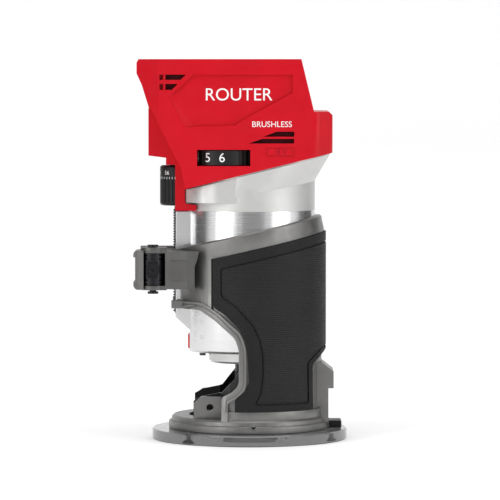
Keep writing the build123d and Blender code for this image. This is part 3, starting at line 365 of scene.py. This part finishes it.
def dial_numbers():
    """White figures and ticks near the depth dial's top edge."""
    mesh = bmesh.new()
    axis = (SCREW_X, 0.0)
    for step in range(8):
        turn = 45.0 * step + 6
        on_drum(mesh, str(8 * step), 2.5, axis, DEPTH_DIAL_RADIUS, turn, 159.6, 0.12)
        for tick in range(5):
            place = round_a_drum(axis, DEPTH_DIAL_RADIUS, turn + 9.0 * tick, 156.9)
            block(mesh, (-0.14, -0.9 if tick else -1.2, -0.05), (0.14, 0.3, 0.06), place)
    as_object("dial_numbers", mesh, MATERIALS["white_ink"], "depth_screw")


def barrel_scale():
    """Height scale with its figures, down the barrel beside the rail."""
    mesh = bmesh.new()
    for step in range(36):
        height = 60.6 + 1.8 * step
        long = step % 5 == 1
        place = round_a_drum(SPINDLE_AXIS, BARREL_RADIUS, -55.5, height)
        block(mesh, (-1.2, -0.14, -0.05), (2.6 if long else 1.0, 0.14, 0.03), place)
        if long:
            on_drum(mesh, str(15 + step), 2.9, SPINDLE_AXIS, BARREL_RADIUS, -46.6, height, 0.1)
    as_object("barrel_scale", mesh, MATERIALS["grey_ink"], "motor")


def lead_screw_thread():
    """The lead screw with a true helical thread, in place of the plain rings."""
    low, high, steps = 75.2, 139.0, 28
    profile = ((3.05, 0.0), (3.9, 0.5), (3.9, 0.95), (3.05, 1.42))
    mesh = bmesh.new()
    rows = []
    for step in range(int((high - low - 1.5) / THREAD_PITCH * steps)):
        angle = 2 * math.pi * step / steps
        rise = low + THREAD_PITCH * step / steps
        rows.append([
            mesh.verts.new(Vector((SCREW_X + r * math.cos(angle), r * math.sin(angle), rise + up)) * MM)
            for r, up in profile
        ])
    for a, b in zip(rows, rows[1:]):
        for i in range(3):
            mesh.faces.new((a[i], b[i], b[i + 1], a[i + 1]))
    mesh.faces.new(rows[0])
    mesh.faces.new(rows[-1][::-1])
    turns = [t * math.pi / 14 for t in range(steps)]
    rings = [
        [mesh.verts.new(Vector((SCREW_X + r * math.cos(a), r * math.sin(a), z)) * MM) for a in turns]
        for r, z in ((2.4, 75.0), (3.1, 75.7), (3.1, 139.4), (2.6, 139.4), (2.6, 170.1), (2.2, 170.5))
    ]
    for a, b in zip(rings, rings[1:]):
        for t in range(steps):
            mesh.faces.new((a[t], a[(t + 1) % steps], b[(t + 1) % steps], b[t]))
    mesh.faces.new(rings[0][::-1])
    mesh.faces.new(rings[-1])
    bmesh.ops.recalc_face_normals(mesh, faces=mesh.faces)
    screw = as_object("lead_screw_thread", mesh, MATERIALS["black_steel"], "depth_screw")
    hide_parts("lead_screw")


def coil_spring(name, replaced, body, start, axis, length, radius, wire, turns):
    """A wound wire spring with closed ends, in place of the CAD's plain tube."""
    along = Vector(axis)
    across = along.orthogonal().normalized()
    aside = along.cross(across)
    mesh = bmesh.new()
    rows = []
    steps = turns * 24
    for step in range(steps + 1):
        share = step / steps
        angle = 2 * math.pi * turns * share
        run = wire + (length - 2 * wire) * share
        out = across * math.cos(angle) + aside * math.sin(angle)
        spot = Vector(start) + along * run + out * (radius - wire)
        round_wire = [
            out * math.cos(t * math.pi / 4) + along * math.sin(t * math.pi / 4) for t in range(8)
        ]
        rows.append([mesh.verts.new((spot + way * wire) * MM) for way in round_wire])
    for a, b in zip(rows, rows[1:]):
        for t in range(8):
            mesh.faces.new((a[t], a[(t + 1) % 8], b[(t + 1) % 8], b[t]))
    mesh.faces.new(rows[0][::-1])
    mesh.faces.new(rows[-1])
    bmesh.ops.recalc_face_normals(mesh, faces=mesh.faces)
    spring = as_object(name, mesh, MATERIALS["steel"], body, True)
    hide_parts(replaced)
    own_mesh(spring)


def panel_facets():
    """Sloped facet at the front end of the recessed panel, both sides."""
    outer = ((-47.0, 205.2), (-38.1, 187.7))
    inner = ((-32.3, 187.9), (-41.0, 210.9))
    for name, side in (("near", -1), ("far", 1)):
        mesh = bmesh.new()
        top = [mesh.verts.new(Vector((x, side * y, z)) * MM)
               for (x, z), y in ((outer[0], 39.9), (outer[1], 39.9), (inner[0], 38.22), (inner[1], 38.22))]
        low = [mesh.verts.new(Vector((x, side * 38.0, z)) * MM) for x, z in outer + inner]
        for i in range(4):
            mesh.faces.new((top[i], low[i], low[(i + 1) % 4], top[(i + 1) % 4]))
        mesh.faces.new(top)
        mesh.faces.new(low[::-1])
        bmesh.ops.recalc_face_normals(mesh, faces=mesh.faces)
        as_object("panel_facet_" + name, mesh, MATERIALS["red_plastic"], "motor")


def vent_ribs():
    """Short bars across the front vents."""
    for name, side in (("near", -1), ("far", 1)):
        mesh = bmesh.new()
        for low, high in ((215.1, 218.6), (209.2, 213.1)):
            block(mesh, (-50.9, side * 39.3, low), (-49.5, side * 36.2, high))
        bmesh.ops.recalc_face_normals(mesh, faces=mesh.faces)
        as_object("vent_ribs_" + name, mesh, MATERIALS["red_plastic"], "motor")


def side_words():
    """Plain generic words in white on the recessed panel and under it, both sides."""
    for name, side in (("near", -1), ("far", 1)):
        mesh = bmesh.new()
        for text, size, x, z, y in (
            ("ROUTER", 7.6, -6.5, 206.3, PANEL_FLOOR), ("BRUSHLESS", 3.5, 13.2, 189.0, HOUSING_SIDE),
        ):
            letters = lettering(text, size, 0.2)
            for vert in letters.verts:
                vert.co = Vector((x - side * vert.co.x, side * (y + vert.co.z), z + vert.co.y)) * MM
            merge(mesh, letters)
        bmesh.ops.recalc_face_normals(mesh, faces=mesh.faces)
        as_object("side_words_" + name, mesh, MATERIALS["white_ink"], "motor")
        badge = lettering("18 V", 3.0, 0.16)
        for low, high in (
            ((-7.6, -2.2), (7.6, -1.95)), ((-7.6, 1.95), (7.6, 2.2)), ((-7.6, -1.95), (-7.35, 1.95)),
            ((7.35, -1.95), (7.6, 1.95)),
        ):
            block(badge, (*low, -0.08), (*high, 0.08), lambda corner: Vector(corner))
        for vert in badge.verts:
            x, y, z = vert.co
            vert.co = Vector((18.1 - side * x, side * (BADGE_FACE + z), 172.8 + y)) * MM
        bmesh.ops.recalc_face_normals(badge, faces=badge.faces)
        as_object("badge_" + name, badge, MATERIALS["badge_ink"], "motor")


GRIP_FIELD = (
    (-15.2, 103.2), (50, 118.6), (50, 60.5), (42.0, 58.0), (33.4, 49.6), (33.4, 25.2), (6.0, 25.2),
    (8.6, 31.5), (9.5, 42.0), (9.2, 53.5), (7.6, 62.4), (3.0, 72.0), (-7.4, 83.0), (-15.2, 88.6),
)


# one raised dash: four corners at its foot, two ends of its crest
DASH_POINTS = (
    (-0.55, -0.3, -0.02), (0.55, -0.3, -0.02), (0.55, 0.3, -0.02), (-0.55, 0.3, -0.02),
    (-0.3, 0.0, 0.16), (0.3, 0.0, 0.16),
)
DASH_FACES = ((0, 1, 5, 4), (2, 3, 4, 5), (1, 2, 5), (3, 0, 4))


def inside(x, z, outline):
    """Whether a point lies in an outline."""
    odd = False
    for (x0, z0), (x1, z1) in zip(outline, outline[1:] + outline[:1]):
        if (z0 > z) != (z1 > z) and x < x0 + (z - z0) * (x1 - x0) / (z1 - z0):
            odd = not odd
    return odd


def grip_dashes():
    """Rows of small raised dashes over the field of each grip."""
    for name, side in (("near", -1), ("far", 1)):
        mesh = bmesh.new()
        for row in range(74):
            height = 26.0 + 1.28 * row
            for column in range(62):
                turn = -22.0 + (column + 0.5 * (row % 2)) * 1.9
                x = GRIP_RADIUS * math.sin(math.radians(turn))
                if turn > 88.5 or not inside(x, height, GRIP_FIELD):
                    continue
                place = round_a_drum(SPINDLE_AXIS, GRIP_RADIUS, turn, height)
                verts = []
                for point in DASH_POINTS:
                    spot = place(point)
                    verts.append(mesh.verts.new((spot.x, spot.y * -side, spot.z)))
                for face in DASH_FACES:
                    mesh.faces.new([verts[i] for i in face])
        bmesh.ops.recalc_face_normals(mesh, faces=mesh.faces)
        as_object("grip_dashes_" + name, mesh, MATERIALS["grip_dash"], "base", True)


coil_spring(
    "lock_coil", "spindle_lock_spring", "motor", (-17.4, 0, 58.5), (-1, 0, 0), 12.5, 2.85, 0.3, 7,
)
coil_spring(
    "release_coil", "release_spring", "base", (-49.5, -17.9, 103.3), (0, 1, 0), 5.8, 2.4, 0.3, 4,
)
coil_spring(
    "latch_coil", "latch_spring", "base", (38.6, 0, 8.8), (1, 0, 0), 4.3, 1.65, 0.25, 4,
)
speed_numbers()
dial_numbers()
barrel_scale()
lead_screw_thread()
panel_facets()
vent_ribs()
side_words()
grip_dashes()


# ---------------------------------------------------------------- stage, lights, camera
def build_stage():
    """Plain pale floor that curves up behind the object, and three soft lights."""
    material = Shader("floor_paper", Specular_IOR_Level=0.2)
    material.colour(material.ramp(material.noise(3), shades((0.90, 0.90, 0.90), 0.01)))
    material.rough(material.span(material.noise(20), 0.75, 0.85))
    material.bsdf.inputs["Emission Color"].default_value = (1.0, 1.0, 1.0, 1.0)
    material.bsdf.inputs["Emission Strength"].default_value = 0.22
    mesh = bmesh.new()
    profile = [(-6.0, 0.0), (2.6, 0.0), (3.3, 0.1), (3.8, 0.5), (4.0, 1.2), (4.0, 4.0)]
    rows = [[mesh.verts.new((x, y, z)) for x in (-5.0, 5.0)] for y, z in profile]
    for low, high in zip(rows, rows[1:]):
        mesh.faces.new((low[0], low[1], high[1], high[0]))
    data = bpy.data.meshes.new("floor")
    mesh.to_mesh(data)
    floor = bpy.data.objects.new("floor", data)
    bpy.context.scene.collection.objects.link(floor)
    for polygon in data.polygons:
        polygon.use_smooth = True
    data.materials.append(material.material)
    lights = [
        ("key", (-1.35, -1.25, 0.75), (0.9, 1.5), 11),
        ("fill", (1.45, -0.95, 0.65), (0.9, 1.5), 8),
        ("top", (0.0, 0.0, 1.7), (1.6, 1.2), 7),
    ]
    for name, place, size, power in lights:
        lamp = bpy.data.lights.new(name, "AREA")
        lamp.shape = "RECTANGLE"
        lamp.size, lamp.size_y = size
        lamp.energy = power
        holder = bpy.data.objects.new(name, lamp)
        holder.location = place
        aim = Vector((0, 0, 0.11)) - Vector(place)
        holder.rotation_euler = aim.to_track_quat("-Z", "Y").to_euler()
        bpy.context.scene.collection.objects.link(holder)


def build_flags():
    """Cards the camera doesn't see: a dark one each side, and a grey one behind the camera."""
    for name, level, azimuth, reach, width in (
        ("flag_left", 0.05, -103.0, 1.5, 1.25),
        ("flag_right", 0.05, 116.0, 1.5, 1.15),
        ("flag_front", 0.26, 2.0, 3.0, 2.7),
    ):
        turn = math.radians(azimuth)
        centre = Vector((math.sin(turn), -math.cos(turn), 0)) * reach
        across = Vector((math.cos(turn), math.sin(turn), 0)) * (width / 2)
        mesh = bmesh.new()
        corners = [centre - across, centre + across]
        mesh.faces.new([mesh.verts.new(c + Vector((0, 0, z))) for c, z in (
            (corners[0], 0.0), (corners[1], 0.0), (corners[1], 2.2), (corners[0], 2.2))])
        data = bpy.data.meshes.new(name)
        mesh.to_mesh(data)
        felt = Shader(name, Specular_IOR_Level=0.1)
        felt.colour(felt.ramp(felt.noise(30), shades((level, level, level), 0.1)))
        felt.rough(felt.span(felt.noise(60), 0.85, 0.95))
        data.materials.append(felt.material)
        flag = bpy.data.objects.new(name, data)
        bpy.context.scene.collection.objects.link(flag)
        flag.visible_camera = False


def build_world():
    """An even white studio."""
    world = bpy.data.worlds.new("studio")
    world.use_nodes = True
    background = world.node_tree.nodes["Background"]
    background.inputs["Color"].default_value = (1.0, 1.0, 1.0, 1.0)
    background.inputs["Strength"].default_value = 0.8
    bpy.context.scene.world = world
    bpy.context.scene.view_settings.view_transform = "Standard"


def build_camera():
    """Square on to the near side, level with the object's top, as a long lens sees it."""
    camera = bpy.data.cameras.new("camera")
    camera.lens = 264
    camera.sensor_width = 36
    holder = bpy.data.objects.new("camera", camera)
    holder.location = (0.0003, -2.2, 0.225)
    aim = Vector((0.0003, 0, 0.113))
    holder.rotation_euler = (aim - holder.location).to_track_quat("-Z", "Y").to_euler()
    bpy.context.scene.collection.objects.link(holder)
    bpy.context.scene.camera = holder


build_stage()
build_flags()
build_world()
build_camera()
